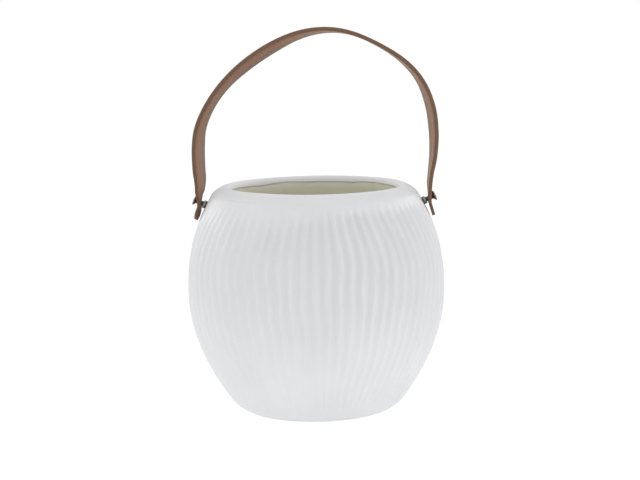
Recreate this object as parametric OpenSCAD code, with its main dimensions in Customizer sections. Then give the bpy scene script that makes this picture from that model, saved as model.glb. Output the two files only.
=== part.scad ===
// Ribbed ceramic planter with a twisted leather strap handle on two metal studs.
// Origin at the centre of the foot, +Z up, studs on the X axis, front towards -Y.

/* [Pot] */
// Widest diameter, over the crests of the ribs
body_d = 203; // [170:1:240]
// Height from the foot to the crest of the lip
body_h = 179.2; // [165:1:200]
// Height of the widest part
belly_z = 97.5; // [85:0.5:108]
// Outside diameter where the ribbed wall ends and the lip begins
neck_d = 162; // [152:1:170]
// Diameter the wall runs down to at the base, before its edge is rounded
base_d = 122; // [104:1:140]
// Radius of the rounded edge round the base
base_edge_r = 10.9; // [5:0.5:12]
// Thickness of the wall
wall_t = 8; // [6:0.5:9]
// Thickness of the floor
floor_t = 9; // [6:0.5:14]
// Radius of the corner between floor and wall inside
floor_round_r = 14; // [8:1:20]

/* [Lip] */
// Height of the rounded lip above the end of the wall
lip_h = 6.4; // [4:0.2:9]
// Diameter of the circle along the crest of the lip
lip_crest_d = 140; // [137:1:146]
// Diameter of the mouth
mouth_d = 133; // [120:1:138]
// Height of the smooth band under the lip that the ribs stop at
band_h = 5; // [3:0.5:8]
// How far the smooth band stands out past the carved ribs
band_proud = 0.1; // [0.05:0.05:0.6]

/* [Ribs] */
// Number of hand-carved upright ribs
rib_n = 68; // [48:2:70]
// Depth of the carved valleys
rib_depth = 1.2; // [0.4:0.1:1.8]
// Height at which the carved lines spread widest from the front
lean_z = 125; // [110:1:140]
// How far the lines beside the studs close up towards the front at the neck, in degrees
lean_neck = 4.3; // [0:0.1:8]
// How far they close up at the foot, in degrees
lean_foot = 16; // [0:0.5:20]
// How far a carved line wanders sideways at the belly
rib_sway = 1.3; // [0:0.1:2]
// Height of one long wander of a carved line
sway_long_h = 74; // [60:1:110]
// Height of one short wander of a carved line
sway_short_h = 41; // [36:1:58]
// Height over which the ribs fade out at the base
rib_fade_h = 20; // [8:1:40]

/* [Foot] */
// Outside diameter of the recess under the base
recess_d = 88; // [60:1:92]
// Depth of the recess under the base
recess_h = 2.4; // [1:0.2:4]

/* [Studs] */
// How far the studs sit below the crest of the lip
stud_drop = 14.4; // [13:0.1:22]
// Upward tilt of the studs, close to the slope of the shoulder, in degrees
stud_tilt = 24; // [18:1:27]
// Diameter of a stud's outer head
head_d = 8.2; // [7.6:0.1:10]
// Thickness of a stud's head at its edge
head_edge_t = 0.8; // [0.5:0.1:1.5]
// Height of the dome on a stud's head
head_dome_h = 0.7; // [0.3:0.1:1.5]
// Diameter of a stud's barrel
barrel_d = 3.8; // [3.2:0.1:4.2]
// Diameter of the screw's shank inside the barrel
shank_d = 2.4; // [1.6:0.1:2.6]
// Diameter of the collar between strap and wall
collar_d = 6.4; // [5.6:0.1:7]
// Diameter of the washer inside the pot
washer_d = 12; // [9:0.5:14]
// Thickness of the washer inside the pot
washer_t = 1.2; // [0.8:0.1:2]
// Diameter of the screw head inside the pot
screw_head_d = 7.6; // [6:0.2:9]
// Height of the screw head inside the pot
screw_head_h = 2.4; // [1.8:0.1:3.2]
// Width of the slot in the screw head
slot_w = 1; // [0.8:0.1:1.4]
// Depth of the slot in the screw head
slot_depth = 1; // [0.6:0.1:1.2]
// Wall left between the seats of collar and washer
seat_wall_t = 6; // [4:0.1:6.5]

/* [Strap] */
// Width of the leather strap
strap_w = 18.5; // [14:0.5:20]
// Thickness of the leather strap
strap_t = 3.2; // [2.6:0.1:3.6]
// Width of the strap at its round ends
strap_end_w = 15; // [13:0.5:16]
// Thickness of the strap at its ends, where the leather is thinned
strap_end_t = 2.5; // [2:0.1:2.6]
// Length over which the strap narrows and thins towards each stud
taper_l = 30; // [20:1:45]
// Bevel along the strap's cut edges
strap_bevel = 0.5; // [0.2:0.1:0.8]
// Rise of the arch from the swing axis to the middle of the leather at its top
arch_rise = 133.1; // [115:0.1:170]
// Length of the tails below the studs
tail_l = 14; // [11:0.5:15]
// Outward slope of the tails, degrees from upright
tail_slope = 16; // [15:1:32]
// Turn of the left end about its own length, in degrees
left_turn = 2; // [0:0.5:2.5]
// Distance along X from the wall at the stud to the middle of the leather
strap_off = 5.2; // [4.5:0.1:6.5]
// Distance between the leather and the head or the collar, where they are nearest
strap_clear = 0.5; // [0.4:0.05:0.6]

/* [Hidden] */

// Overrun of every cut past the solid that it cuts
over = 1;

// Wall of the pot: two curves that meet at the belly
belly_r = body_d / 2;
neck_r = neck_d / 2;
base_r = base_d / 2;
neck_z = body_h - lip_h;
low_power = 1.98;
high_power = 2.28;

// Radius of the wall over the crests of the ribs at height z, without the rounded base edge
function bare_r(z) = z < belly_z
    ? belly_r - (belly_r - base_r) * pow((belly_z - z) / belly_z, low_power)
    : belly_r - (belly_r - neck_r) * pow((z - belly_z) / (neck_z - belly_z), high_power);

// What a round corner of radius r takes off at a height z above the start of the corner
function corner_cut(z, r) = z >= r ? 0 : r - sqrt(max(0, r * r - (r - z) * (r - z)));
function wall_r(z) = bare_r(z) - corner_cut(z, base_edge_r);

// Ribs: each has a crest, a valley and two flanks, and its line wanders as it goes up
cut_shares = [0, 0.7, 1, 0.7];
per_rib = len(cut_shares);
column_n = rib_n * per_rib;
band_z = neck_z - band_h;
wall_top_z = neck_z - band_h / 2;
long_share = 0.5;
short_share = 0.28;
own_share = 0.22;
jitter_share = 0.12;
own_step = 0.37;
sway_a = rib_sway / belly_r * 180 / PI;
function sway(i, z) =
    sway_a * (long_share * sin(360 * (z / sway_long_h + 3 * i / rib_n + jitter_share * sin(i * 97)))
    + short_share * sin(360 * (z / sway_short_h - 5 * i / rib_n))
    + own_share * sin(360 * (z / (2 * sway_short_h) + i * own_step)));
function mixed_sway(column, z) =
    let (i = floor(column / per_rib), part = (column % per_rib) / per_rib)
    sway(i, z) * (1 - part) + sway((i + 1) % rib_n, z) * part;

// The lines bow: they close up towards the front line both above and below lean_z
lean_power = 1.2;
function lean(z) = z > lean_z
    ? lean_neck * pow((z - lean_z) / (neck_z - lean_z), lean_power)
    : lean_foot * pow((lean_z - z) / lean_z, lean_power);
function fade(z) = max(0, min(1, z / rib_fade_h)) * max(0, min(1, (wall_top_z - z) / band_h));
function wall_point(column, z) =
    let (
        spread = column * 360 / column_n + mixed_sway(column, max(0, z)),
        a = spread - lean(max(0, z)) * cos(spread),
        r = wall_r(max(0, z)) - rib_depth * fade(z) * cut_shares[column % per_rib]
    )
    [r * cos(a), r * sin(a), z];

// Heights of the rings of points: close together round the base edge, then even
edge_step_n = 3;
wall_step_n = 18;
ring_zs = concat([-over],
    [for (k = [0 : edge_step_n]) base_edge_r * (1 - cos(90 * k / edge_step_n))],
    [for (k = [1 : wall_step_n]) base_edge_r + (wall_top_z - base_edge_r) * k / wall_step_n]);

// Joins rings of n points each into a closed solid; cap points lie past the first and last ring
function ring_faces(n, rings) = concat(
    [for (k = [0 : rings - 2]) for (j = [0 : n - 1]) for (half = [0, 1])
        let (a = k * n + j, b = k * n + (j + 1) % n, c = a + n, d = b + n)
        half == 0 ? [a, c, b] : [b, c, d]],
    [for (j = [0 : n - 1]) [j, (j + 1) % n, rings * n]],
    [for (j = [0 : n - 1]) [(rings - 1) * n + (j + 1) % n, (rings - 1) * n + j, rings * n + 1]]);

module ribbed_wall() {
    points = concat(
        [for (z = ring_zs) for (column = [0 : column_n - 1]) wall_point(column, z)],
        [[0, 0, -over], [0, 0, wall_top_z]]);
    polyhedron(points = points, faces = ring_faces(column_n, len(ring_zs)), convexity = 8);
}

// Lip: runs on from the slope of the wall in a soft roll, then turns down into the mouth
crest_r = lip_crest_d / 2;
mouth_r = mouth_d / 2;
lip_out_r = neck_r + band_proud;
lip_in_r = mouth_r - wall_t / 40;
lip_step_n = 8;
lip_drop = lip_h * 0.9;
roll_weight = 0.45;
wall_slope = (belly_r - neck_r) * high_power / (neck_z - belly_z);
knee_r = max(crest_r, lip_out_r - wall_slope * lip_h);
function rolled(t) = let (a = (1 - t) * (1 - t), b = 2 * roll_weight * t * (1 - t), c = t * t)
    [a * lip_out_r + b * knee_r + c * crest_r, a * neck_z + (b + c) * body_h] / (a + b + c);
module lip_ring() {
    outline = concat(
        [for (k = [0 : lip_step_n]) rolled(k / lip_step_n)],
        [for (k = [1 : lip_step_n]) let (a = 90 * k / lip_step_n)
            [crest_r - (crest_r - lip_in_r) * sin(a), body_h - lip_drop * (1 - cos(a))]],
        [[lip_in_r, band_z]],
        [for (k = [0 : 2]) let (z = band_z + band_h * k / 3) [bare_r(z) + band_proud, z]]);
    rotate_extrude($fn = 224) polygon(outline);
}

// Inside of the pot: the wall's own curve, thicker towards the lip
lip_wall_t = neck_r - mouth_r;
thicken_h = lip_h * 5;
cavity_step_n = 18;
function ease(t) = let (u = max(0, min(1, t))) u * u * (3 - 2 * u);
function cavity_r(z) =
    bare_r(z) - wall_t - (lip_wall_t - wall_t) * ease((z - neck_z + thicken_h) / thicken_h)
    - corner_cut(z - floor_t, floor_round_r);
module cavity() {
    outline = concat(
        [[0, floor_t]],
        [for (k = [0 : 3]) let (z = floor_t + floor_round_r * (1 - cos(22.5 * k))) [cavity_r(z), z]],
        [for (k = [0 : cavity_step_n])
            let (z = floor_t + floor_round_r + (neck_z - floor_t - floor_round_r) * k / cavity_step_n)
            [cavity_r(z), z]],
        [[mouth_r, body_h + over], [0, body_h + over]]);
    rotate_extrude($fn = 224) polygon(outline);
}

// Stud place: on the wall, tipped up nearly square to the slope of the shoulder
stud_z = body_h - stud_drop;
stud_r = bare_r(stud_z);
outer_seat = -rib_depth;
inner_seat = outer_seat - seat_wall_t;
fit_gap = 0.05;
bore_gap = 0.2;
barrel_r = barrel_d / 2;
shank_r = shank_d / 2;
head_r = head_d / 2;
collar_r = collar_d / 2;
washer_r = washer_d / 2;
screw_head_r = screw_head_d / 2;
seat_gap = 0.4;

// Heights along the stud, measured from the wall
head_seat = (strap_off + strap_end_t / 2 + strap_clear) / cos(stud_tilt) + head_r * tan(stud_tilt);
collar_top = (strap_off - strap_end_t / 2 - strap_clear) / cos(stud_tilt) - collar_r * tan(stud_tilt);
barrel_end = inner_seat + seat_gap;

module at_stud(side) {
    mirror([side < 0 ? 1 : 0, 0, 0]) translate([stud_r, 0, stud_z]) rotate([0, 90 - stud_tilt, 0])
        children();
}

module stud_bores(side) {
    at_stud(side) {
        translate([0, 0, inner_seat - over]) cylinder(r = barrel_r + bore_gap, h = seat_wall_t + 2 * over, $fn = 48);
        translate([0, 0, outer_seat]) cylinder(r = collar_r + seat_gap, h = 2 * collar_r, $fn = 64);
        translate([0, 0, inner_seat - 2 * washer_r]) cylinder(r = washer_r + seat_gap, h = 2 * washer_r, $fn = 64);
    }
}

module pot_body() {
    color("#E3E4E2") difference() {
        union() {
            ribbed_wall();
            lip_ring();
        }
        cavity();
        translate([-body_d, -body_d, -2 * over]) cube([2 * body_d, 2 * body_d, 2 * over]);
        translate([0, 0, -over]) cylinder(r = recess_d / 2, h = recess_h + over, $fn = 160);
        stud_bores(1);
        stud_bores(-1);
    }
}

// Stud: a domed head on a hollow barrel that runs through strap, collar and wall
module stud(side) {
    dome_r = (head_r * head_r + head_dome_h * head_dome_h) / (2 * head_dome_h);
    color("#5C524A") at_stud(side) difference() {
        union() {
            translate([0, 0, head_seat]) cylinder(r = head_r, h = head_edge_t, $fn = 64);
            intersection() {
                translate([0, 0, head_seat + head_edge_t + head_dome_h - dome_r]) sphere(r = dome_r, $fn = 96);
                translate([0, 0, head_seat + head_edge_t / 2]) cylinder(r = head_r, h = head_edge_t + head_dome_h, $fn = 64);
            }
            translate([0, 0, barrel_end]) cylinder(r = barrel_r, h = head_seat - barrel_end + head_edge_t / 2, $fn = 48);
        }
        translate([0, 0, barrel_end - over]) cylinder(r = shank_r + fit_gap, h = head_seat - barrel_end + over, $fn = 48);
    }
}
module left_stud() stud(-1);
module right_stud() stud(1);

// Collar: a small metal ring on a flat seat in the wall, which keeps the leather off the glaze
module collar(side) {
    color("#7F7B78") at_stud(side) difference() {
        translate([0, 0, outer_seat]) cylinder(r = collar_r, h = collar_top - outer_seat, $fn = 64);
        translate([0, 0, outer_seat - over]) cylinder(r = barrel_r + fit_gap, h = collar_top - outer_seat + 2 * over, $fn = 48);
    }
}
module left_collar() collar(-1);
module right_collar() collar(1);

// Washer: spreads the screw's load on a flat seat inside the pot
module washer(side) {
    color("#2E2C2A") at_stud(side) difference() {
        translate([0, 0, inner_seat - washer_t]) cylinder(r = washer_r, h = washer_t, $fn = 64);
        translate([0, 0, inner_seat - washer_t - over]) cylinder(r = shank_r + bore_gap, h = washer_t + 2 * over, $fn = 48);
    }
}
module left_washer() washer(-1);
module right_washer() washer(1);

// Screw: a slotted pan head inside the pot, its shank in the stud's barrel
module screw(side) {
    head_top = inner_seat - washer_t - screw_head_h;
    neck_h = screw_head_h / 3;
    color("#8E8A84") at_stud(side) difference() {
        union() {
            translate([0, 0, head_top + neck_h]) cylinder(r = screw_head_r, h = screw_head_h - neck_h, $fn = 64);
            translate([0, 0, head_top]) cylinder(r1 = screw_head_r - neck_h, r2 = screw_head_r, h = neck_h, $fn = 64);
            translate([0, 0, head_top + neck_h]) cylinder(r = shank_r, h = outer_seat - head_top - neck_h, $fn = 48);
        }
        translate([-slot_w / 2, -2 * screw_head_r, head_top - over]) cube([slot_w, 4 * screw_head_r, slot_depth + over]);
    }
}
module left_screw() screw(-1);
module right_screw() screw(1);

// Strap: a flat ribbon that leans out like a cone at the legs and stands edge-on at the right shoulder
axis_x = stud_r + strap_off;
axis_z = stud_z + strap_off * tan(stud_tilt);
strap_hole_r = barrel_r / cos(stud_tilt) + strap_end_t / 2 * tan(stud_tilt) + strap_clear;

// Route of the arch: shares of axis_x across, shares of arch_rise up, then the turn in degrees
arch_shares = [
    [-1, 0.035, 3], [-1, 0.062, 9], [-0.998, 0.10, 15], [-1.002, 0.20, 23], [-1, 0.33, 24],
    [-0.975, 0.445, 22], [-0.89, 0.57, 19], [-0.757, 0.69, 20], [-0.575, 0.80, 24], [-0.35, 0.90, 23], [-0.108, 0.974, 15],
    [0.13, 1, 8], [0.355, 0.975, 3], [0.592, 0.898, 3], [0.79, 0.80, 8], [0.925, 0.685, 12],
    [1.003, 0.545, 16], [1.03, 0.40, 15], [1.025, 0.26, 9], [1.004, 0.14, 2], [1, 0.035, 0]];
arch_n = len(arch_shares);
span_step_n = 3;
function blend4(a, b, c, d, t) =
    b + (c - a) * t / 2 + (2 * a - 5 * b + 4 * c - d) * t * t / 2 + (3 * b - a - 3 * c + d) * t * t * t / 2;
function arch_at(i, t) = blend4(arch_shares[max(0, i - 1)], arch_shares[i], arch_shares[i + 1],
    arch_shares[min(arch_n - 1, i + 2)], t);
function grown(end, full, rise) = (end + (full - end) * ease(rise / taper_l)) / 2;
function arch_place(s) = let (rise = s[1] * arch_rise)
    [s[0] * axis_x, axis_z + rise, s[2], grown(strap_end_w, strap_w, rise), grown(strap_end_t, strap_t, rise)];

// Tail: straight over the collar, then bent out along the shoulder, with a round end
bend_start = collar_r - strap_clear;
bend_l = strap_end_t / 2;
function tail_out(s) = s < bend_start ? 0
    : tan(tail_slope) * (s < bend_start + bend_l
        ? (s - bend_start) * (s - bend_start) / (2 * bend_l)
        : s - bend_start - bend_l / 2);
tail_round_r = strap_end_w / 2;
function tail_half_w(s) = let (d = s - tail_l + tail_round_r)
    d <= 0 ? tail_round_r : sqrt(max(0, tail_round_r * tail_round_r - d * d));
tail_shares = [0.992, 0.95, 0.87, 0.76, 0.63, 0.5, 0.38, 0.3, 0.22, 0.1, 0];
function tail_place(side, share) = let (s = tail_l * share)
    [side * (axis_x + tail_out(s)), axis_z - s, side < 0 ? left_turn : 0, tail_half_w(s), strap_end_t / 2];

route = concat(
    [for (share = tail_shares) tail_place(-1, share)],
    [for (i = [0 : arch_n - 2]) for (k = [0 : span_step_n - 1]) arch_place(arch_at(i, k / span_step_n))],
    [arch_place(arch_shares[arch_n - 1])],
    [for (k = [len(tail_shares) - 1 : -1 : 0]) tail_place(1, tail_shares[k])]);
route_n = len(route);

// Across the ribbon, the section is a flat bar with bevelled edges
function strap_ring(k) =
    let (
        p = route[k], before = route[max(0, k - 1)], after = route[min(route_n - 1, k + 1)],
        run = [after[0] - before[0], after[1] - before[1]], t = run / norm(run),
        across = [-sin(p[2]) * t[1], -cos(p[2]), sin(p[2]) * t[0]],
        through = [-cos(p[2]) * t[1], sin(p[2]), cos(p[2]) * t[0]],
        w = p[3], flat = max(w - strap_bevel, w / 2), h = p[4], low = h - strap_bevel
    )
    [for (q = [[w, low], [flat, h], [-flat, h], [-w, low], [-w, -low], [-flat, -h], [flat, -h], [w, -low]])
        [p[0], 0, p[1]] + across * q[0] + through * q[1]];

module handle_strap() {
    color("#94755C") difference() {
        polyhedron(
            points = concat([for (k = [0 : route_n - 1]) each strap_ring(k)],
                [[route[0][0], 0, route[0][1]], [route[route_n - 1][0], 0, route[route_n - 1][1]]]),
            faces = ring_faces(8, route_n), convexity = 6);
        for (side = [-1, 1]) translate([side * axis_x, 0, axis_z]) rotate([0, 90, 0])
            cylinder(r = strap_hole_r, h = 3 * strap_t, center = true, $fn = 64);
    }
}

pot_body();
handle_strap();
left_stud();
right_stud();
left_collar();
right_collar();
left_washer();
right_washer();
left_screw();
right_screw();
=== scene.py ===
# Ribbed white planter with a twisted leather strap on metal studs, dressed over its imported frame.
import math

import bmesh
import bpy
from mathutils import Matrix, Vector, noise


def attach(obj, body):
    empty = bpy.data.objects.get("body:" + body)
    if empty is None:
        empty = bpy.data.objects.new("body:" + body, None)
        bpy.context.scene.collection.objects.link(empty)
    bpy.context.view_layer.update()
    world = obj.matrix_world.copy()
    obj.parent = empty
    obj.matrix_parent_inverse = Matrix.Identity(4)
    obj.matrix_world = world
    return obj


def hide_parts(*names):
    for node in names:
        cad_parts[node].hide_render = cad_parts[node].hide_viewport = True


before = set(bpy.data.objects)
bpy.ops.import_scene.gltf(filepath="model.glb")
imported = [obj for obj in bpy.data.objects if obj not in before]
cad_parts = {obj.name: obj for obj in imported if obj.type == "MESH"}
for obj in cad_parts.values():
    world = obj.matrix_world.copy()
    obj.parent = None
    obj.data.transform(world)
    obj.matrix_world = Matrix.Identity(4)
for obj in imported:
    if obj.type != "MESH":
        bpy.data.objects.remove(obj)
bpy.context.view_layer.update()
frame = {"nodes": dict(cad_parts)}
mm = 0.001
print("frame loaded:", ", ".join(frame["nodes"]))


def ease(t):
    t = max(0.0, min(1.0, t))
    return t * t * (3 - 2 * t)


def mix(a, b, t):
    return a + (b - a) * t


def newPiece(name, mesh, body, replaced):
    piece = bpy.data.objects.new(name, mesh)
    bpy.context.scene.collection.objects.link(piece)
    mesh.polygons.foreach_set("use_smooth", [True] * len(mesh.polygons))
    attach(piece, body)
    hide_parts(replaced)
    return piece


def applyModifiers(piece):
    graph = bpy.context.evaluated_depsgraph_get()
    finished = bpy.data.meshes.new_from_object(piece.evaluated_get(graph))
    old = piece.data
    piece.modifiers.clear()
    piece.data = finished
    bpy.data.meshes.remove(old)


# Camera: placed as in the photograph, a little above the belly, with its slight roll
camera = {
    "distance": 1.588,
    "elevation": 7.795,
    "aimHeight": 0.13506,
    "sideways": 0.00364,
    "roll": 1.13,
    "lens": 112.97,
    "sensor": 36,
    "clipEnd": 50,
}


def placeCamera():
    tilt = math.radians(camera["elevation"])
    roll = math.radians(camera["roll"])
    back = Vector((0, -math.cos(tilt), math.sin(tilt)))
    right = Vector((1, 0, 0))
    up = back.cross(right)
    aim = Vector((camera["sideways"], 0, camera["aimHeight"]))
    turnedRight = right * math.cos(roll) - up * math.sin(roll)
    turnedUp = right * math.sin(roll) + up * math.cos(roll)
    data = bpy.data.cameras.new("photoCamera")
    data.lens = camera["lens"]
    data.sensor_width = camera["sensor"]
    data.clip_end = camera["clipEnd"]
    seen = bpy.data.objects.new("photoCamera", data)
    seen.matrix_world = Matrix.LocRotScale(
        aim + back * camera["distance"],
        Matrix((turnedRight, turnedUp, back)).transposed(),
        None,
    )
    bpy.context.scene.collection.objects.link(seen)
    bpy.context.scene.camera = seen


placeCamera()
print("camera placed")


# Pot: the same curves as its solid, in millimetres, with a finer and less even carving
pot = {
    "bellyR": 101.5,
    "bellyZ": 97.5,
    "baseR": 61.0,
    "neckR": 81.0,
    "height": 179.2,
    "lipH": 6.4,
    "crestR": 70.0,
    "rollWeight": 0.45,
    "mouthR": 66.5,
    "wallT": 8.0,
    "floorT": 9.0,
    "floorRound": 14.0,
    "edgeR": 10.9,
    "lowPower": 1.98,
    "highPower": 2.28,
    "bandH": 5.0,
    "bandProud": 0.1,
    "bandEase": 1.2,
    "crestDrop": 0.86,
    "thickenOver": 5,
    "mouthFlare": 0.9,
    "floorSag": 0.25,
    "lipWobble": 0.12,
    "rimTilt": -0.005,
    "rimWave": 0.22,
    "rimRipple": 0.08,
    "rimBelow": 8,
    "rimOver": 12,
    "recessR": 44.0,
    "recessH": 2.4,
    "footEdge": 1.2,
}
ribs = {
    "count": 68,
    "columnsPerRib": 8,
    "rows": 118,
    "depth": 2.2,
    "depthVariation": 0.22,
    "crestWidth": 0.14,
    "sway": 1.3,
    "longWave": 74.0,
    "shortWave": 41.0,
    "leanZ": 125.0,
    "leanNeck": 9.0,
    "leanFoot": 16.0,
    "leanPower": 1.2,
    "fadeH": 20.0,
    "fadeShares": (1.2, 0.6),
    "upperFade": (26, 12),
    "upperSpread": 4,
    "topOver": 1.5,
    "leftDepth": 0.56,
    "frontDepth": 0.44,
    "rightDepth": 0.36,
    "footDepth": 0.2,
    "deepenFrom": 20,
    "deepenOver": 115,
    "leastDepth": 0.04,
    "handWobble": 0.10,
}
neckZ = pot["height"] - pot["lipH"]
bandZ = neckZ - pot["bandH"]
wallTopZ = neckZ - pot["bandH"] / 2


def bareR(z):
    if z < pot["bellyZ"]:
        part = (pot["bellyZ"] - z) / pot["bellyZ"]
        return pot["bellyR"] - (pot["bellyR"] - pot["baseR"]) * part ** pot["lowPower"]
    part = (z - pot["bellyZ"]) / (neckZ - pot["bellyZ"])
    return pot["bellyR"] - (pot["bellyR"] - pot["neckR"]) * part ** pot["highPower"]


def cornerCut(z, r):
    if z >= r:
        return 0.0
    return r - math.sqrt(max(0.0, r * r - (r - z) * (r - z)))


def swayOf(rib, z):
    # neighbours wander together, each with a little of its own
    turn = 2 * math.pi
    share = rib / ribs["count"]
    both = 2 * ribs["shortWave"]
    return ribs["sway"] / pot["bellyR"] * (
        0.5 * math.sin(turn * (z / ribs["longWave"] + 3 * share + 0.12 * math.sin(math.radians(rib * 97))))
        + 0.28 * math.sin(turn * (z / ribs["shortWave"] - 5 * share))
        + 0.22 * math.sin(turn * (z / both + rib * 0.37))
    )


def leanOf(z):
    # the lines close up towards the front above and below the height where they spread widest
    middle = ribs["leanZ"]
    if z > middle:
        return math.radians(ribs["leanNeck"]) * ((z - middle) / (neckZ - middle)) ** ribs["leanPower"]
    return math.radians(ribs["leanFoot"]) * ((middle - z) / middle) ** ribs["leanPower"]


def fadeOf(angle, z, ends):
    # the cut fades at the foot and under the smooth band, over a longer way on the left
    least, spread = ribs["fadeShares"]
    left, right = ribs["upperFade"]
    upper = ribs["upperSpread"] * ends + mix(left, right, ease(0.5 + 1.4 * (math.cos(angle) + 0.05)))
    lower = ribs["fadeH"] * (least + spread * ends)
    return ease(z / lower) * ease((wallTopZ + ribs["topOver"] - z) / upper)


def deepOf(angle, z):
    # carved deeper at the front and right than on the left, and shallower towards the foot
    sides = ribs["leftDepth"] + ribs["frontDepth"] * ease(0.62 + math.cos(angle + 0.6) * 0.9)
    sides += ribs["rightDepth"] * ease(math.cos(angle + 0.15))
    return sides * mix(ribs["footDepth"], 1, ease((z - ribs["deepenFrom"]) / ribs["deepenOver"]))


def carvedPoint(column, z):
    # one point of the outer wall and the share of the depth that is cut there
    count = ribs["count"] * ribs["columnsPerRib"]
    rib, part = divmod(column, ribs["columnsPerRib"])
    part /= ribs["columnsPerRib"]
    sway = mix(swayOf(rib, z), swayOf((rib + 1) % ribs["count"], z), part)
    angle = 2 * math.pi * column / count + sway
    angle -= leanOf(z) * math.cos(angle)
    along = Vector((math.cos(angle), math.sin(angle), 0))
    ends = noise.noise(along * 5 + Vector((0, 0, 7)))
    k = ribs["crestWidth"]
    cut = (math.hypot(math.sin(math.pi * part), k) - k) / (math.hypot(1, k) - k)
    uneven = noise.noise(along * 7 + Vector((0, 0, z * 0.02))) - 0.2
    depth = max(ribs["leastDepth"], deepOf(angle, z) + ribs["depthVariation"] * uneven)
    deepness = depth * fadeOf(angle, z, ends) * cut
    r = bareR(z) - cornerCut(z, pot["edgeR"])
    r -= ribs["depth"] * deepness
    wobble = noise.noise(along * 4 + Vector((0, 0, z * 0.06)))
    r += ribs["handWobble"] * (wobble - 0.8)
    r += pot["bandProud"] * ease((z - bandZ + pot["bandEase"]) / (2 * pot["bandEase"]))
    return r * math.cos(angle), r * math.sin(angle), deepness


def cavityR(z):
    lipWall = pot["neckR"] - pot["mouthR"]
    thicken = pot["lipH"] * pot["thickenOver"]
    r = bareR(min(z, neckZ)) - pot["wallT"]
    r -= (lipWall - pot["wallT"]) * ease((z - neckZ + thicken) / thicken)
    return r - cornerCut(z - pot["floorT"], pot["floorRound"])


def lipRows():
    # a soft roll that runs on from the slope of the wall, then a tighter one down into the mouth
    rows = []
    outR, crestR, top = pot["neckR"] + pot["bandProud"], pot["crestR"], pot["height"]
    slope = (pot["bellyR"] - pot["neckR"]) * pot["highPower"] / (neckZ - pot["bellyZ"])
    kneeR = outR - slope * pot["lipH"]
    for k in range(1, 17):
        t = k / 16
        a, b, c = (1 - t) ** 2, 2 * pot["rollWeight"] * t * (1 - t), t * t
        whole = a + b + c
        rows.append(((a * outR + b * kneeR + c * crestR) / whole, (a * neckZ + (b + c) * top) / whole))
    drop = pot["lipH"] * pot["crestDrop"]
    for k in range(1, 13):
        a = math.pi / 2 * k / 12
        rows.append((crestR - (crestR - pot["mouthR"]) * math.sin(a), top - drop * (1 - math.cos(a))))
    return rows


def rimLift(x, y, z):
    # the rim isn't quite level: a small tilt and two shallow waves, in mm
    share = ease((z - neckZ + pot["rimBelow"]) / pot["rimOver"])
    turn = math.atan2(y, x)
    wave = pot["rimWave"] * math.sin(2 * turn + 0.6) * ease(0.5 + y / 60)
    return share * (pot["rimTilt"] * x + wave + pot["rimRipple"] * math.sin(5 * turn))


def cavityRows():
    rows = []
    top = pot["height"] - pot["lipH"] * pot["crestDrop"]
    for k in range(1, 37):
        z = mix(top, pot["floorT"] + pot["floorRound"], (k / 36) ** 0.9)
        r = min(cavityR(z), pot["mouthR"] + (top - z) * pot["mouthFlare"])
        rows.append((r, z))
    for k in range(1, 9):
        a = math.pi / 2 * k / 8
        z = pot["floorT"] + pot["floorRound"] * (1 - math.sin(a))
        rows.append((cavityR(max(z, pot["floorT"] + 0.001)), z))
    edge = rows[-1][0]
    for share in (0.88, 0.72, 0.52, 0.3, 0.12):
        rows.append((edge * share, pot["floorT"] - pot["floorSag"] * (1 - share)))
    return rows


def footRows():
    # from the rounded base edge inward: foot ring, then the recess
    e = pot["footEdge"]
    r = pot["recessR"]
    top = pot["recessH"]
    ring = [(r + 4.0, 0.0), (r + e, 0.0), (r + 0.35 * e, 0.12 * e), (r, 0.45 * e)]
    step = [(r - 0.1, top - 0.5 * e), (r - 0.3 * e, top - 0.1 * e), (r - e, top)]
    return ring + step + [(r * share, top) for share in (0.7, 0.35, 0.1)]


def buildPot():
    columns = ribs["count"] * ribs["columnsPerRib"]
    heights = [pot["edgeR"] * (1 - math.cos(math.pi / 2 * k / 8)) for k in range(9)]
    heights += [mix(pot["edgeR"], neckZ, k / ribs["rows"]) for k in range(1, ribs["rows"] + 1)]
    rings, carved = [], []
    for z in heights:
        ring = []
        for c in range(columns):
            x, y, deepness = carvedPoint(c, z)
            ring.append((x, y, z + rimLift(x, y, z)))
            carved.append(deepness)
        rings.append(ring)
    for r, z in lipRows() + cavityRows():
        ring = []
        for c in range(columns):
            a = 2 * math.pi * c / columns
            u = noise.noise(Vector((math.cos(a) * 2, math.sin(a) * 2, z * 0.03)))
            x, y = (r + pot["lipWobble"] * u) * math.cos(a), (r + pot["lipWobble"] * u) * math.sin(a)
            ring.append((x, y, z + rimLift(x, y, z)))
        rings.append(ring)
    around = [2 * math.pi * c / columns for c in range(columns)]
    foot = [[(r * math.cos(a), r * math.sin(a), z) for a in around] for r, z in footRows()]
    rings = foot[::-1] + rings
    points = [Vector(p) * mm for ring in rings for p in ring]
    points += [Vector((0, 0, footRows()[-1][1])) * mm, Vector((0, 0, cavityRows()[-1][1])) * mm]
    faces, slots = [], []
    insideFrom = len(rings) - len(cavityRows()) - 9
    for k in range(len(rings) - 1):
        for c in range(columns):
            d = (c + 1) % columns
            faces.append((k * columns + c, k * columns + d, (k + 1) * columns + d, (k + 1) * columns + c))
            slots.append(2 if k < len(foot) else 1 if k >= insideFrom else 0)
    last = (len(rings) - 1) * columns
    for c in range(columns):
        d = (c + 1) % columns
        faces.append((d, c, len(points) - 2))
        faces.append((last + c, last + d, len(points) - 1))
        slots += [2, 1]
    mesh = bpy.data.meshes.new("potBody")
    mesh.from_pydata(points, [], faces)
    mesh.polygons.foreach_set("material_index", slots)
    start = len(foot) * columns
    grooves = mesh.attributes.new("groove", "FLOAT", "POINT")
    grooves.data.foreach_set("value", [0.0] * start + carved + [0.0] * (len(points) - start - len(carved)))
    return newPiece("potBody", mesh, "pot", "pot_body")


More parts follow.
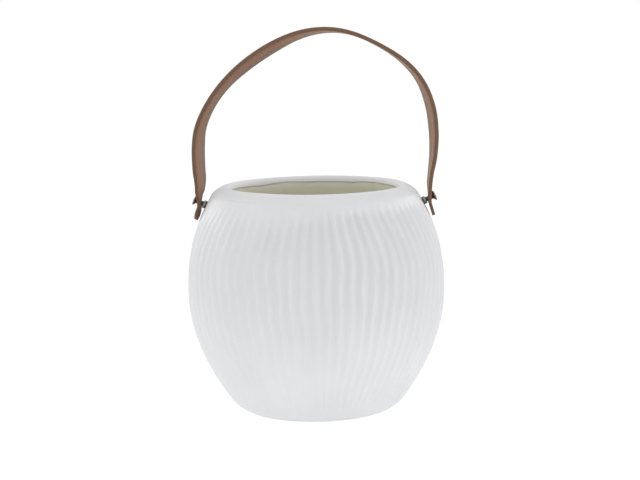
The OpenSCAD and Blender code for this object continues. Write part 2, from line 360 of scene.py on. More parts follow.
# Hardware: places and sizes along each stud's own axis, in millimetres from the wall
studs = {
    "wallR": 85.6315,
    "height": 164.8,
    "tilt": 24.0,
    "headSeat": 9.4332,
    "headR": 4.1,
    "headEdge": 0.8,
    "dome": 0.7,
    "barrelR": 1.9,
    "boreR": 1.25,
    "barrelEnd": -6.8,
    "outerSeat": -1.2,
    "innerSeat": -7.2,
    "collarTop": 2.3518,
    "collarR": 3.2,
    "washerR": 6.0,
    "washerT": 1.2,
    "shankR": 1.2,
    "screwR": 3.8,
    "screwH": 2.4,
    "slotW": 1.0,
    "slotDepth": 1.0,
    "edgeR": 0.3,
    "underR": 0.25,
    "screwUnderR": 0.15,
    "screwTopR": 0.8,
    "taperH": 1.5,
    "taper": [(2.4, 0.95), (3.2, 0.4)],
    "taperEdge": 0.35,
    "holeRoom": 0.2,
    "seatRoom": 0.4,
    "cornerSteps": 5,
}


def studFrame(side):
    tilt = math.radians(studs["tilt"])
    out = Vector((math.cos(tilt) * side, 0, math.sin(tilt)))
    across = Vector((0, 1, 0))
    third = across.cross(out)
    turn = Matrix((third, across, out)).transposed().to_4x4()
    return Matrix.Translation(Vector((studs["wallR"] * side, 0, studs["height"])) * mm) @ turn


def turnedSolid(profile, segments=96):
    # profile: (radius, height) pairs in mm, from the axis round and back to the axis, or a closed loop
    mesh = bmesh.new()
    closed = profile[0][0] > 0
    rings = []
    for r, h in profile:
        if r == 0:
            rings.append([mesh.verts.new((0, 0, h * mm))] * segments)
        else:
            around = [2 * math.pi * k / segments for k in range(segments)]
            ring = [(r * math.cos(a) * mm, r * math.sin(a) * mm, h * mm) for a in around]
            rings.append([mesh.verts.new(point) for point in ring])
    pairs = list(zip(rings, rings[1:]))
    if closed:
        pairs.append((rings[-1], rings[0]))
    for low, high in pairs:
        for k in range(segments):
            n = (k + 1) % segments
            corners = []
            for v in (low[k], low[n], high[n], high[k]):
                if v not in corners:
                    corners.append(v)
            if len(corners) > 2:
                mesh.faces.new(corners)
    bmesh.ops.recalc_face_normals(mesh, faces=mesh.faces)
    return mesh


def roundedCorner(r, h, radius, start, end):
    steps = studs["cornerSteps"]
    angles = [math.radians(mix(start, end, k / steps)) for k in range(steps + 1)]
    return [(r + radius * math.cos(a), h + radius * math.sin(a)) for a in angles]


def finishHardware(mesh, name, side, slotName):
    mesh.transform(studFrame(side))
    if side < 0:
        bmesh.ops.recalc_face_normals(mesh, faces=mesh.faces)
    data = bpy.data.meshes.new(name)
    mesh.to_mesh(data)
    mesh.free()
    return newPiece(name, data, "pot", slotName)


def cutWith(piece, cutter):
    tool = bpy.data.objects.new("cutter", cutter)
    bpy.context.scene.collection.objects.link(tool)
    cut = piece.modifiers.new("cut", "BOOLEAN")
    cut.operation = "DIFFERENCE"
    cut.solver = "MANIFOLD"
    cut.object = tool
    bpy.context.view_layer.update()
    applyModifiers(piece)
    bpy.data.objects.remove(tool)


def asMesh(mesh, matrix):
    mesh.transform(matrix)
    bmesh.ops.recalc_face_normals(mesh, faces=mesh.faces)
    data = bpy.data.meshes.new("cutter")
    mesh.to_mesh(data)
    mesh.free()
    return data


def buildStud(side, name):
    seat, edge = studs["headSeat"], studs["headEdge"]
    top = seat + edge + studs["dome"]
    r, barrelR, end = studs["headR"], studs["barrelR"], studs["barrelEnd"]
    under, soft = studs["underR"], studs["edgeR"]
    profile = [(studs["boreR"], end), (barrelR - 0.2, end), (barrelR, end + 0.2)]
    # the underside of the head tapers into the barrel
    profile.append((barrelR, seat - studs["taperH"]))
    profile += [(x, seat - below) for x, below in studs["taper"]]
    profile.append((r - studs["taperEdge"], seat))
    profile += roundedCorner(r - under, seat + under, under, -90, 0)
    profile += roundedCorner(r - soft, seat + edge - soft, soft, 0, 68)
    curve = (r * r + studs["dome"] ** 2) / (2 * studs["dome"])
    for k in range(1, 11):
        x = (r - 0.32) * (1 - k / 10)
        profile.append((x, top - curve + math.sqrt(curve * curve - x * x)))
    mesh = turnedSolid([(0, seat)] + [(studs["boreR"], seat)] + profile)
    return finishHardware(mesh, name, side, nodeName(name))


def nodeName(name):
    return "".join("_" + c.lower() if c.isupper() else c for c in name)


def buildCollar(side, name):
    low, high, r, inner = studs["outerSeat"], studs["collarTop"], studs["collarR"], studs["barrelR"] + 0.05
    soft = studs["edgeR"]
    profile = [(inner, low), (r - 0.2, low)]
    profile += roundedCorner(r - soft, high - soft, soft, 0, 90)
    profile += [(inner + 0.2, high), (inner, high - 0.2)]
    return finishHardware(turnedSolid(profile), name, side, nodeName(name))


def buildWasher(side, name):
    high, r, inner = studs["innerSeat"], studs["washerR"], studs["shankR"] + 0.2
    low = high - studs["washerT"]
    soft = studs["edgeR"]
    profile = [(inner, low), (inner, high)]
    profile += roundedCorner(r - soft, high - soft, soft, 90, 0)
    profile += roundedCorner(r - soft, low + soft, soft, 0, -90)
    return finishHardware(turnedSolid(profile), name, side, nodeName(name))


def buildScrew(side, name):
    high = studs["innerSeat"] - studs["washerT"]
    low = high - studs["screwH"]
    r, shankR, tip = studs["screwR"], studs["shankR"], studs["outerSeat"]
    under, soft = studs["screwUnderR"], studs["screwTopR"]
    profile = [(0, tip), (shankR - studs["edgeR"], tip), (shankR, tip - studs["edgeR"]), (shankR, high)]
    profile += roundedCorner(r - under, high - under, under, 90, 0)
    profile += roundedCorner(r - soft, low + soft, soft, 0, -90)
    profile += [(0, low)]
    mesh = turnedSolid(profile)
    piece = finishHardware(mesh, name, side, nodeName(name))
    slot = bmesh.new()
    bmesh.ops.create_cube(slot, size=1)
    size = (studs["slotW"] * mm, 4 * r * mm, 2 * studs["slotDepth"] * mm)
    bmesh.ops.scale(slot, vec=size, verts=slot.verts)
    bmesh.ops.translate(slot, vec=(0, 0, low * mm), verts=slot.verts)
    cutWith(piece, asMesh(slot, studFrame(side)))
    return piece


def plainCylinder(r, low, high, segments=64):
    return turnedSolid([(0, low), (r, low), (r, high), (0, high)], segments)


potBody = buildPot()
print("pot built:", len(potBody.data.polygons), "faces")

hardware = {}
for side, word in ((-1, "left"), (1, "right")):
    hardware[word + "Stud"] = buildStud(side, word + "Stud")
    hardware[word + "Collar"] = buildCollar(side, word + "Collar")
    hardware[word + "Washer"] = buildWasher(side, word + "Washer")
    hardware[word + "Screw"] = buildScrew(side, word + "Screw")
print("hardware built")


# Strap: shares of the half span across, shares of the rise up, then the turn in degrees
strap = {
    "axisX": 90.8315,
    "axisZ": 167.1152,
    "rise": 133.1,
    "width": 18.5,
    "endWidth": 15.0,
    "taper": 30.0,
    "thickness": 3.2,
    "endThickness": 2.5,
    "leftTurn": 2.0,
    "tailTurn": 9.5,
    "tail": 14.0,
    "tailSlope": (15.2, 16.0),
    "bendStart": 2.7,
    "bendLength": 1.25,
    "holeR": 3.136,
    "flatR": 5.2,
    "turnOver": 6.5,
    "cutRound": 0.55,
    "cutShare": 0.92,
    "cutInset": 0.42,
    "crown": 0.10,
    "crownInset": 0.12,
    "fleshInset": 0.08,
    "wobble": 0.08,
    "route": [
        (-1, 0.0415, 16), (-0.997, 0.058, 18), (-0.992, 0.08, 20), (-0.989, 0.11, 22),
        (-0.990, 0.15, 23.5), (-0.996, 0.20, 23), (-0.996, 0.33, 23.5), (-0.971, 0.445, 20.5),
        (-0.887, 0.57, 18.5), (-0.755, 0.69, 19.5), (-0.575, 0.80, 24), (-0.35, 0.90, 24),
        (-0.108, 0.974, 16), (0.132, 1, 8), (0.359, 0.976, 3), (0.598, 0.90, 3),
        (0.80, 0.802, 7), (0.936, 0.686, 11), (1.0135, 0.545, 15), (1.0405, 0.40, 14),
        (1.036, 0.26, 9), (1.012, 0.15, 4), (1.001, 0.09, 4.5), (1, 0.0415, 2),
    ],
    "stepsPerSpan": 9,
}


def smoothAt(rows, i, t):
    a, b = rows[max(0, i - 1)], rows[i]
    c, d = rows[i + 1], rows[min(len(rows) - 1, i + 2)]
    return [
        q + (r - p) * t / 2 + (2 * p - 5 * q + 4 * r - s) * t * t / 2 + (3 * q - p - 3 * r + s) * t**3 / 2
        for p, q, r, s in zip(a, b, c, d)
    ]


def tailOut(s, slope):
    slope = math.tan(math.radians(slope))
    start, length = strap["bendStart"], strap["bendLength"]
    if s < start:
        return 0.0
    if s < start + length:
        return slope * (s - start) ** 2 / (2 * length)
    return slope * (s - start - length / 2)


def strapRoute():
    # (x, z, turn, half width, half thickness) in mm, from the left tail's tip to the right one's
    roundR = strap["endWidth"] / 2
    thin = strap["endThickness"] / 2
    left, right = strap["tailSlope"]
    tail = []
    for k in range(30):
        s = strap["tail"] * (1 - 0.0015) * math.cos(math.pi / 2 * k / 29) ** 0.7
        d = s - strap["tail"] + roundR
        half = roundR if d <= 0 else math.sqrt(max(0.0, roundR * roundR - d * d))
        tail.append((s, half))
    axisX, axisZ = strap["axisX"], strap["axisZ"]
    places = [(-axisX - tailOut(s, left), axisZ - s, strap["tailTurn"], half, thin) for s, half in tail]
    rows = strap["route"]
    for i in range(len(rows) - 1):
        for k in range(strap["stepsPerSpan"] + (i == len(rows) - 2)):
            x, z, turn = smoothAt(rows, i, k / strap["stepsPerSpan"])
            rise = z * strap["rise"]
            grown = ease(rise / strap["taper"])
            half = mix(strap["endWidth"], strap["width"], grown) / 2
            thick = mix(strap["endThickness"], strap["thickness"], grown) / 2
            places.append((x * axisX, axisZ + rise, turn, half, thick))
    places += [(axisX + tailOut(s, right), axisZ - s, 0, half, thin) for s, half in tail[::-1]]
    return places


def strapSection(half, h, wobble):
    # (across, through) round the section: outer face, far cut edge, inner face, near cut edge
    edge = strap["cutRound"]
    flat = max(half - edge, half * 0.5)
    section = []
    for k in range(9):
        t = mix(flat, -flat, k / 8)
        crown = strap["crown"] * (1 - (t / max(flat, 0.1)) ** 2)
        section.append((t, h - strap["crownInset"] + crown))
    rim = h - strap["cutInset"]
    for a in (50, 18, -18, -50):
        w = -half + edge - edge * math.cos(math.radians(a)) - wobble
        section.append((w, rim * a / 50 * strap["cutShare"]))
    for k in range(9):
        t = mix(-flat, flat, k / 8)
        section.append((t, -h + strap["fleshInset"]))
    for a in (-50, -18, 18, 50):
        w = half - edge + edge * math.cos(math.radians(a)) + wobble
        section.append((w, rim * a / 50 * strap["cutShare"]))
    return section


def buildStrap():
    places = strapRoute()
    count = len(strapSection(9, 1.6, 0))
    points, faces, slots = [], [], []
    for k, (x, z, turn, half, thick) in enumerate(places):
        before, after = places[max(0, k - 1)], places[min(len(places) - 1, k + 1)]
        run = Vector((after[0] - before[0], 0, after[1] - before[1])).normalized()
        out = Vector((-run.z, 0, run.x))
        wobble = strap["wobble"] * noise.noise(Vector((k * 0.21, 3.7, 0)))
        for w, t in strapSection(half, thick, wobble):
            a = math.radians(turn)
            if x < 0:
                # the left end lies flat round its stud and turns further out
                reach = math.hypot(w, z - strap["axisZ"]) - strap["flatR"]
                a = math.radians(mix(strap["leftTurn"], turn, ease(reach / strap["turnOver"])))
            across = out * math.sin(a) + Vector((0, -math.cos(a), 0))
            through = out * math.cos(a) + Vector((0, math.sin(a), 0))
            points.append((Vector((x, 0, z)) + across * w + through * t) * mm)
    for k in range(len(places) - 1):
        for c in range(count):
            d = (c + 1) % count
            faces.append((k * count + c, k * count + d, (k + 1) * count + d, (k + 1) * count + c))
            slots.append(0 if c < 8 else 1 if 13 <= c < 21 else 2)
    faces.append(tuple(range(count))[::-1])
    faces.append(tuple(range((len(places) - 1) * count, len(places) * count)))
    slots += [2, 2]
    mesh = bpy.data.meshes.new("handleStrap")
    mesh.from_pydata(points, [], faces)
    mesh.polygons.foreach_set("material_index", slots)
    body = bmesh.new()
    body.from_mesh(mesh)
    bmesh.ops.recalc_face_normals(body, faces=body.faces)
    body.to_mesh(mesh)
    body.free()
    return newPiece("handleStrap", mesh, "handle", "handle_strap")


handleStrap = buildStrap()
print("strap built:", len(handleStrap.data.polygons), "faces")


# Shared effects, as node groups
def groupWith(name, inputs, outputs):
    group = bpy.data.node_groups.new(name, "ShaderNodeTree")
    for socketName, kind, value in inputs:
        socket = group.interface.new_socket(socketName, in_out="INPUT", socket_type=kind)
        if value is not None:
            socket.default_value = value
    for socketName, kind in outputs:
        group.interface.new_socket(socketName, in_out="OUTPUT", socket_type=kind)
    return group, group.nodes.new("NodeGroupInput"), group.nodes.new("NodeGroupOutput")


def addNode(tree, kind, **settings):
    node = tree.nodes.new(kind)
    for key, value in settings.items():
        setattr(node, key, value)
    return node


def mottlingGroup():
    # slow cloudy change of tone between two colours
    group, start, end = groupWith(
        "mottling",
        [
            ("Vector", "NodeSocketVector", None),
            ("Scale", "NodeSocketFloat", 20.0),
            ("Contrast", "NodeSocketFloat", 1.0),
            ("First", "NodeSocketColor", None),
            ("Second", "NodeSocketColor", None),
        ],
        [("Color", "NodeSocketColor"), ("Mask", "NodeSocketFloat")],
    )
    cloud = addNode(group, "ShaderNodeTexNoise")
    cloud.inputs["Detail"].default_value = 5
    cloud.inputs["Roughness"].default_value = 0.55
    spread = addNode(group, "ShaderNodeMath", operation="MULTIPLY_ADD", use_clamp=True)
    shift = addNode(group, "ShaderNodeMath", operation="SUBTRACT")
    blend = addNode(group, "ShaderNodeMix", data_type="RGBA")
    link = group.links.new
    link(start.outputs["Vector"], cloud.inputs["Vector"])
    link(start.outputs["Scale"], cloud.inputs["Scale"])
    link(cloud.outputs["Fac"], shift.inputs[0])
    shift.inputs[1].default_value = 0.5
    link(shift.outputs[0], spread.inputs[0])
    link(start.outputs["Contrast"], spread.inputs[1])
    spread.inputs[2].default_value = 0.5
    link(spread.outputs[0], blend.inputs[0])
    link(start.outputs["First"], blend.inputs[6])
    link(start.outputs["Second"], blend.inputs[7])
    link(blend.outputs[2], end.inputs["Color"])
    link(spread.outputs[0], end.inputs["Mask"])
    return group


def fineGrainGroup():
    # small pebbles from cells, over finer noise: a height between 0 and 1
    group, start, end = groupWith(
        "fineGrain",
        [
            ("Vector", "NodeSocketVector", None),
            ("Cell Scale", "NodeSocketFloat", 900.0),
            ("Noise Scale", "NodeSocketFloat", 1500.0),
            ("Noise Share", "NodeSocketFloat", 0.5),
        ],
        [("Height", "NodeSocketFloat")],
    )
    cells = addNode(group, "ShaderNodeTexVoronoi", feature="SMOOTH_F1")
    cells.inputs["Smoothness"].default_value = 0.6
    fine = addNode(group, "ShaderNodeTexNoise")
    fine.inputs["Detail"].default_value = 4
    blend = addNode(group, "ShaderNodeMix", data_type="FLOAT")
    link = group.links.new
    link(start.outputs["Vector"], cells.inputs["Vector"])
    link(start.outputs["Cell Scale"], cells.inputs["Scale"])
    link(start.outputs["Vector"], fine.inputs["Vector"])
    link(start.outputs["Noise Scale"], fine.inputs["Scale"])
    link(start.outputs["Noise Share"], blend.inputs[0])
    link(cells.outputs["Distance"], blend.inputs[2])
    link(fine.outputs["Fac"], blend.inputs[3])
    link(blend.outputs[0], end.inputs["Height"])
    return group


mottling = mottlingGroup()
fineGrain = fineGrainGroup()


def newMaterial(name):
    material = bpy.data.materials.new(name)
    material.use_nodes = True
    tree = material.node_tree
    tree.nodes.clear()
    shader = tree.nodes.new("ShaderNodeBsdfPrincipled")
    output = tree.nodes.new("ShaderNodeOutputMaterial")
    tree.links.new(shader.outputs[0], output.inputs[0])
    place = tree.nodes.new("ShaderNodeTexCoord")
    return material, tree, shader, place.outputs["Object"]


def placeGroup(tree, group, vector, **values):
    node = addNode(tree, "ShaderNodeGroup", node_tree=group)
    tree.links.new(vector, node.inputs["Vector"])
    for key, value in values.items():
        socket = node.inputs[key.replace("_", " ")]
        socket.default_value = (*value, 1) if isinstance(value, tuple) else value
    return node


def mapRange(tree, source, low, high, toLow=0.0, toHigh=1.0):
    node = addNode(tree, "ShaderNodeMapRange")
    tree.links.new(source, node.inputs[0])
    for k, value in enumerate((low, high, toLow, toHigh)):
        node.inputs[k + 1].default_value = value
    return node.outputs[0]


def mixColors(tree, mask, first, second, blend="MIX"):
    node = addNode(tree, "ShaderNodeMix", data_type="RGBA", blend_type=blend)
    for socket, value in ((0, mask), (6, first), (7, second)):
        if isinstance(value, (tuple, float, int)):
            node.inputs[socket].default_value = (*value, 1) if isinstance(value, tuple) else value
        else:
            tree.links.new(value, node.inputs[socket])
    return node.outputs[2]


def mathNode(tree, operation, first, second, clamp=False):
    node = addNode(tree, "ShaderNodeMath", operation=operation, use_clamp=clamp)
    for k, value in enumerate((first, second)):
        if isinstance(value, (float, int)):
            node.inputs[k].default_value = value
        else:
            tree.links.new(value, node.inputs[k])
    return node.outputs[0]


def addBump(tree, shader, height, distance):
    bump = addNode(tree, "ShaderNodeBump")
    bump.inputs["Strength"].default_value = 1.0
    bump.inputs["Distance"].default_value = distance
    tree.links.new(height, bump.inputs["Height"])
    tree.links.new(bump.outputs[0], shader.inputs["Normal"])


glaze = {
    "light": (0.76, 0.765, 0.775),
    "shade": (0.70, 0.705, 0.715),
    # painted shade for the bottoms of the cuts
    "grooveShade": (0.70, 0.706, 0.718),
    "insideLight": (0.92, 0.91, 0.81),
    "insideShade": (0.88, 0.868, 0.76),
    # colour of the painted shadow under the lip, just below the cream line
    "line": (0.44, 0.42, 0.34),
    "lineZ": 0.1745,
    "clay": (0.62, 0.56, 0.47),
    "clayDark": (0.52, 0.46, 0.38),
    "roughness": 0.52,
    "roughnessSpread": 0.06,
    "bump": 0.00006,
    "lineWaves": 38,
    "lineLift": 0.0007,
    "clayRougher": 0.25,
}


def glazeMaterial(name, light, shade, scale):
    material, tree, shader, at = newMaterial(name)
    tone = placeGroup(tree, mottling, at, Scale=scale, Contrast=1.6, First=light, Second=shade)
    middle, spread = glaze["roughness"], glaze["roughnessSpread"]
    rough = mapRange(tree, tone.outputs["Mask"], 0, 1, middle - spread, middle + spread)
    grain = placeGroup(tree, fineGrain, at, Cell_Scale=420.0, Noise_Scale=900.0, Noise_Share=0.6)
    addBump(tree, shader, grain.outputs["Height"], glaze["bump"])
    return tree, shader, at, tone.outputs["Color"], rough, material


def potMaterials():
    # painted shade: the glaze colour is a little greyer down in the cuts, following the groove depth
    made = glazeMaterial("whiteGlaze", glaze["light"], glaze["shade"], 22.0)
    tree, shader, at, color, rough, outside = made
    groove = addNode(tree, "ShaderNodeAttribute", attribute_name="groove")
    grooveShade = mapRange(tree, groove.outputs["Fac"], 0.1, 1.0)
    tree.links.new(mixColors(tree, grooveShade, color, glaze["grooveShade"]), shader.inputs["Base Color"])
    tree.links.new(rough, shader.inputs["Roughness"])

    # the cream inside stops at an uneven line below the crest, with a thin painted shadow from the lip along
    # it
    made = glazeMaterial("creamInside", glaze["insideLight"], glaze["insideShade"], 30.0)
    tree, shader, at, color, rough, cream = made
    parts = addNode(tree, "ShaderNodeSeparateXYZ")
    tree.links.new(at, parts.inputs[0])
    waves = addNode(tree, "ShaderNodeTexNoise")
    tree.links.new(at, waves.inputs["Vector"])
    waves.inputs["Scale"].default_value = glaze["lineWaves"]
    waves.inputs["Detail"].default_value = 3
    lift = mapRange(tree, waves.outputs["Fac"], 0.3, 0.7, -glaze["lineLift"], glaze["lineLift"])
    above = mathNode(tree, "SUBTRACT", parts.outputs[2], mathNode(tree, "ADD", lift, glaze["lineZ"]))
    white = mapRange(tree, above, -0.00015, 0.0002)
    rising, falling = mapRange(tree, above, -0.0014, -0.0004), mapRange(tree, above, 0.0003, 0.0)
    # painted shadow band just under the white
    edge = mathNode(tree, "MULTIPLY", rising, falling)
    body = mixColors(tree, white, color, glaze["light"])
    tree.links.new(mixColors(tree, edge, body, glaze["line"]), shader.inputs["Base Color"])
    tree.links.new(rough, shader.inputs["Roughness"])

    # bare clay under the foot, with glaze running down to it
    made = glazeMaterial("bareClay", glaze["clay"], glaze["clayDark"], 60.0)
    tree, shader, at, color, rough, clay = made
    parts = addNode(tree, "ShaderNodeSeparateXYZ")
    tree.links.new(at, parts.inputs[0])
    edge = mapRange(tree, parts.outputs[2], 0.0006, 0.0026)
    tree.links.new(mixColors(tree, edge, color, glaze["light"]), shader.inputs["Base Color"])
    tree.links.new(mathNode(tree, "ADD", rough, glaze["clayRougher"], True), shader.inputs["Roughness"])
    return outside, cream, clay


leather = {
    "grain": ((0.330, 0.178, 0.102), (0.280, 0.148, 0.083)),
    "flesh": ((0.350, 0.188, 0.110), (0.300, 0.158, 0.090)),
    "far": ((0.255, 0.184, 0.146), (0.225, 0.158, 0.122)),
    "edge": ((0.178, 0.102, 0.062), (0.132, 0.074, 0.044)),
    "streak": 0.16,
    "specular": 0.35,
    # painted shade on the downward-facing inner side of the arch's upper left: centre, reach and tone
    "underShadeAt": (-0.055, 0, 0.272),
    "underShadeReach": (0.025, 0.085),
    "underShade": (0.80, 0.77, 0.74),
    # painted shadow on the tails' inner side near the wall: tone and heights it fades over
    "tailShadowTone": (0.62, 0.62, 0.56),
    "tailShadowFrom": (0.158, 0.168),
    "farOver": 0.0045,
    "nearEdge": (-0.0092, -0.0040, 0.55),
    "streakTone": (0.72, 0.66, 0.62),
    "streakStretch": (14, 620, 14),
}


def leatherMaterial(name, tones, roughness, bumpDepth, farTones=None):
    # streaks run along the strap: object Y goes across it, so noise is stretched over the other two
    material, tree, shader, at = newMaterial(name)
    tone = placeGroup(tree, mottling, at, Scale=45.0, Contrast=1.3, First=tones[0], Second=tones[1])
    color = tone.outputs["Color"]
    parts = addNode(tree, "ShaderNodeSeparateXYZ")
    tree.links.new(at, parts.inputs[0])
    if farTones:
        far = placeGroup(tree, mottling, at, Scale=45.0, Contrast=1.3, First=farTones[0], Second=farTones[1])
        across = mapRange(tree, parts.outputs[1], 0.0, leather["farOver"])
        color = mixColors(tree, across, color, far.outputs["Color"])
        # darker along its near edge, and painted shade where the upper left of the arch faces down
        start, end, most = leather["nearEdge"]
        near = mapRange(tree, parts.outputs[1], start, end, most, 0)
        color = mixColors(tree, near, color, leather["edge"][0])
        reach = addNode(tree, "ShaderNodeVectorMath", operation="DISTANCE")
        tree.links.new(at, reach.inputs[0])
        reach.inputs[1].default_value = leather["underShadeAt"]
        underShadeMask = mapRange(tree, reach.outputs["Value"], *leather["underShadeReach"], 1, 0)
        color = mixColors(tree, underShadeMask, color, leather["underShade"], "MULTIPLY")
        # painted shadow: the tails' inner side is darkened where it lies in the shade near the wall
        tail = mapRange(tree, parts.outputs[2], *leather["tailShadowFrom"], 1, 0)
        color = mixColors(tree, tail, color, leather["tailShadowTone"], "MULTIPLY")
    stretch = addNode(tree, "ShaderNodeMapping")
    stretch.inputs["Scale"].default_value = leather["streakStretch"]
    tree.links.new(at, stretch.inputs["Vector"])
    streaks = addNode(tree, "ShaderNodeTexNoise")
    streaks.inputs["Scale"].default_value = 1.0
    streaks.inputs["Detail"].default_value = 4
    tree.links.new(stretch.outputs[0], streaks.inputs["Vector"])
    dark = mapRange(tree, streaks.outputs["Fac"], 0.35, 0.65, 0, leather["streak"] * 2)
    color = mixColors(tree, dark, color, leather["streakTone"], "MULTIPLY")
    tree.links.new(color, shader.inputs["Base Color"])
    grain = placeGroup(tree, fineGrain, at, Cell_Scale=900.0, Noise_Scale=1800.0, Noise_Share=0.5)
    rough = mapRange(tree, grain.outputs["Height"], 0, 1, roughness - 0.08, roughness + 0.1)
    tree.links.new(rough, shader.inputs["Roughness"])
    addBump(tree, shader, grain.outputs["Height"], bumpDepth)
    shader.inputs["Specular IOR Level"].default_value = leather["specular"]
    return material


metal = {
    "darkMetal": ((0.200, 0.150, 0.120), (0.110, 0.092, 0.078), 0.42),
    "greyMetal": ((0.300, 0.285, 0.270), (0.200, 0.190, 0.180), 0.40),
    "plainSteel": ((0.420, 0.410, 0.395), (0.300, 0.290, 0.280), 0.34),
}


def metalMaterial(name):
    first, second, roughness = metal[name]
    material, tree, shader, at = newMaterial(name)
    tone = placeGroup(tree, mottling, at, Scale=500.0, Contrast=2.4, First=first, Second=second)
    tree.links.new(tone.outputs["Color"], shader.inputs["Base Color"])
    shader.inputs["Metallic"].default_value = 0.9
    rough = mapRange(tree, tone.outputs["Mask"], 0, 1, roughness - 0.08, roughness + 0.14)
    tree.links.new(rough, shader.inputs["Roughness"])
    grain = placeGroup(tree, fineGrain, at, Cell_Scale=2500.0, Noise_Scale=6000.0, Noise_Share=0.7)
    addBump(tree, shader, grain.outputs["Height"], 0.00001)
    return material


rubber = {
    "light": (0.030, 0.030, 0.030),
    "dark": (0.018, 0.018, 0.018),
}


def rubberMaterial():
    material, tree, shader, at = newMaterial("blackRubber")
    light, dark = rubber["light"], rubber["dark"]
    tone = placeGroup(tree, mottling, at, Scale=300.0, Contrast=1.5, First=light, Second=dark)
    tree.links.new(tone.outputs["Color"], shader.inputs["Base Color"])
    tree.links.new(mapRange(tree, tone.outputs["Mask"], 0, 1, 0.7, 0.88), shader.inputs["Roughness"])
    return material


def dress(piece, *materials):
    for material in materials:
        piece.data.materials.append(material)


dress(potBody, *potMaterials())
dress(
    handleStrap,
    leatherMaterial("leatherGrain", leather["grain"], 0.50, 0.00003),
    leatherMaterial("leatherFlesh", leather["flesh"], 0.60, 0.00003, leather["far"]),
    leatherMaterial("leatherEdge", leather["edge"], 0.60, 0.00003),
)
darkMetal, greyMetal, plainSteel = (metalMaterial(name) for name in metal)
blackRubber = rubberMaterial()
for word in ("left", "right"):
    dress(hardware[word + "Stud"], darkMetal)
    dress(hardware[word + "Collar"], greyMetal)
    dress(hardware[word + "Washer"], blackRubber)
    dress(hardware[word + "Screw"], plainSteel)
print("materials made")


def cutHoles():
    # stud bores with their flat seats through the wall, and the strap's two holes
    for side in (1, -1):
        place = studFrame(side)
        outer, inner = studs["outerSeat"], studs["innerSeat"]
        cuts = [
            (studs["barrelR"] + studs["holeRoom"], inner - 3, outer + 3),
            (studs["collarR"] + studs["seatRoom"], outer, 8),
            (studs["washerR"] + studs["seatRoom"], inner - 14, inner),
        ]
        for r, low, high in cuts:
            cutWith(potBody, asMesh(plainCylinder(r, low, high), place))
        end = Matrix.Translation(Vector((strap["axisX"] * side, 0, strap["axisZ"])) * mm)
        end = end @ Matrix.Rotation(math.pi / 2, 4, "Y")
        cutWith(handleStrap, asMesh(plainCylinder(strap["holeR"], -8, 8, 48), end))


cutHoles()
print("holes cut")


# Studio: white floor and surroundings, and nine broad lamps: name, place, size and power
studio = {
    "floorSize": 8.0,
    "whiteShare": 0.86,
    "whiteLevel": 1.12,
    "floorGlow": 0.41,
    "worldLight": 0.55,
    "floorPaint": (0.8, 0.8, 0.8),
    "aimHeight": 0.12,
    "lamps": [
        ("backRight", (1.2, 1.2, 0.7), 1.0, 4.6),
        ("above", (0, 0, 1.8), 1.2, 5.3),
        ("front", (0, -1.9, 0.5), 1.0, 3.4),
        ("farRight", (1.9, 0.3, 0.9), 1.6, 1.2),
        ("leftHigh", (-1.2, -0.3, 1.3), 1.0, 2.3),
        ("backLeft", (-1.2, 1.2, 0.7), 1.0, 5.4),
        ("left", (-1.6, -0.3, 0.5), 1.2, 1.0),
        ("backHigh", (0, 1.2, 1.4), 1.0, 1.5),
        ("right", (1.6, -0.3, 0.5), 1.2, 4.2),
    ],
}


def cameraSide(tree):
    # 1 for rays that show the background itself, directly or in a mirror or a glass
    path = tree.nodes.new("ShaderNodeLightPath")
    mirrored = mathNode(tree, "MAXIMUM", path.outputs["Is Glossy Ray"], path.outputs["Is Transmission Ray"])
    return mathNode(tree, "MAXIMUM", path.outputs["Is Camera Ray"], mirrored)


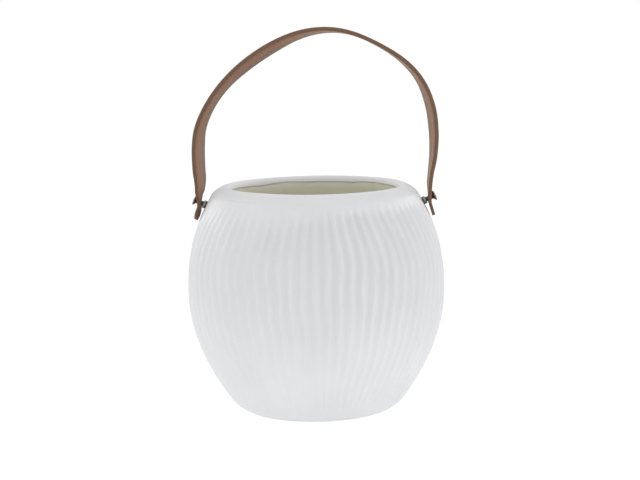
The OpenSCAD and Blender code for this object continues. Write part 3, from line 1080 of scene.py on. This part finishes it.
def whiteForCamera(tree, lit):
    # the paper glows a little for every ray, and nearly white for those that show it
    glow = addNode(tree, "ShaderNodeEmission")
    seen = cameraSide(tree)
    white = studio["whiteLevel"] * studio["whiteShare"]
    tree.links.new(mapRange(tree, seen, 0, 1, studio["floorGlow"], white), glow.inputs["Strength"])
    dark = tree.nodes.new("ShaderNodeEmission")
    dark.inputs["Strength"].default_value = 0
    less = tree.nodes.new("ShaderNodeMixShader")
    tree.links.new(mathNode(tree, "MULTIPLY", seen, studio["whiteShare"]), less.inputs[0])
    tree.links.new(lit, less.inputs[1])
    tree.links.new(dark.outputs[0], less.inputs[2])
    both = tree.nodes.new("ShaderNodeAddShader")
    tree.links.new(less.outputs[0], both.inputs[0])
    tree.links.new(glow.outputs[0], both.inputs[1])
    return both.outputs[0]


def buildStudio():
    size = studio["floorSize"] / 2
    mesh = bpy.data.meshes.new("floor")
    corners = [(-size, -size, 0), (size, -size, 0), (size, size, 0), (-size, size, 0)]
    mesh.from_pydata(corners, [], [(0, 1, 2, 3)])
    floor = bpy.data.objects.new("floor", mesh)
    bpy.context.scene.collection.objects.link(floor)
    material = bpy.data.materials.new("whiteFloor")
    material.use_nodes = True
    tree = material.node_tree
    tree.nodes.clear()
    paint = tree.nodes.new("ShaderNodeBsdfDiffuse")
    paint.inputs["Color"].default_value = (*studio["floorPaint"], 1)
    output = tree.nodes.new("ShaderNodeOutputMaterial")
    tree.links.new(whiteForCamera(tree, paint.outputs[0]), output.inputs[0])
    mesh.materials.append(material)

    world = bpy.data.worlds.new("whiteRoom")
    bpy.context.scene.world = world
    world.use_nodes = True
    tree = world.node_tree
    tree.nodes.clear()
    seen = cameraSide(tree)
    room = tree.nodes.new("ShaderNodeBackground")
    room.inputs["Color"].default_value = (1, 1, 1, 1)
    strength = mapRange(tree, seen, 0, 1, studio["worldLight"], 1.0)
    tree.links.new(strength, room.inputs["Strength"])
    output = tree.nodes.new("ShaderNodeOutputWorld")
    tree.links.new(room.outputs[0], output.inputs[0])

    for name, place, size, power in studio["lamps"]:
        data = bpy.data.lights.new(name, "AREA")
        data.shape = "DISK"
        data.size = size
        data.energy = power
        lamp = bpy.data.objects.new(name, data)
        lamp.location = place
        aim = Vector((0, 0, studio["aimHeight"])) - Vector(place)
        lamp.rotation_euler = aim.to_track_quat("-Z", "Y").to_euler()
        bpy.context.scene.collection.objects.link(lamp)
    bpy.context.scene.view_settings.view_transform = "Standard"


buildStudio()
print("studio lit")
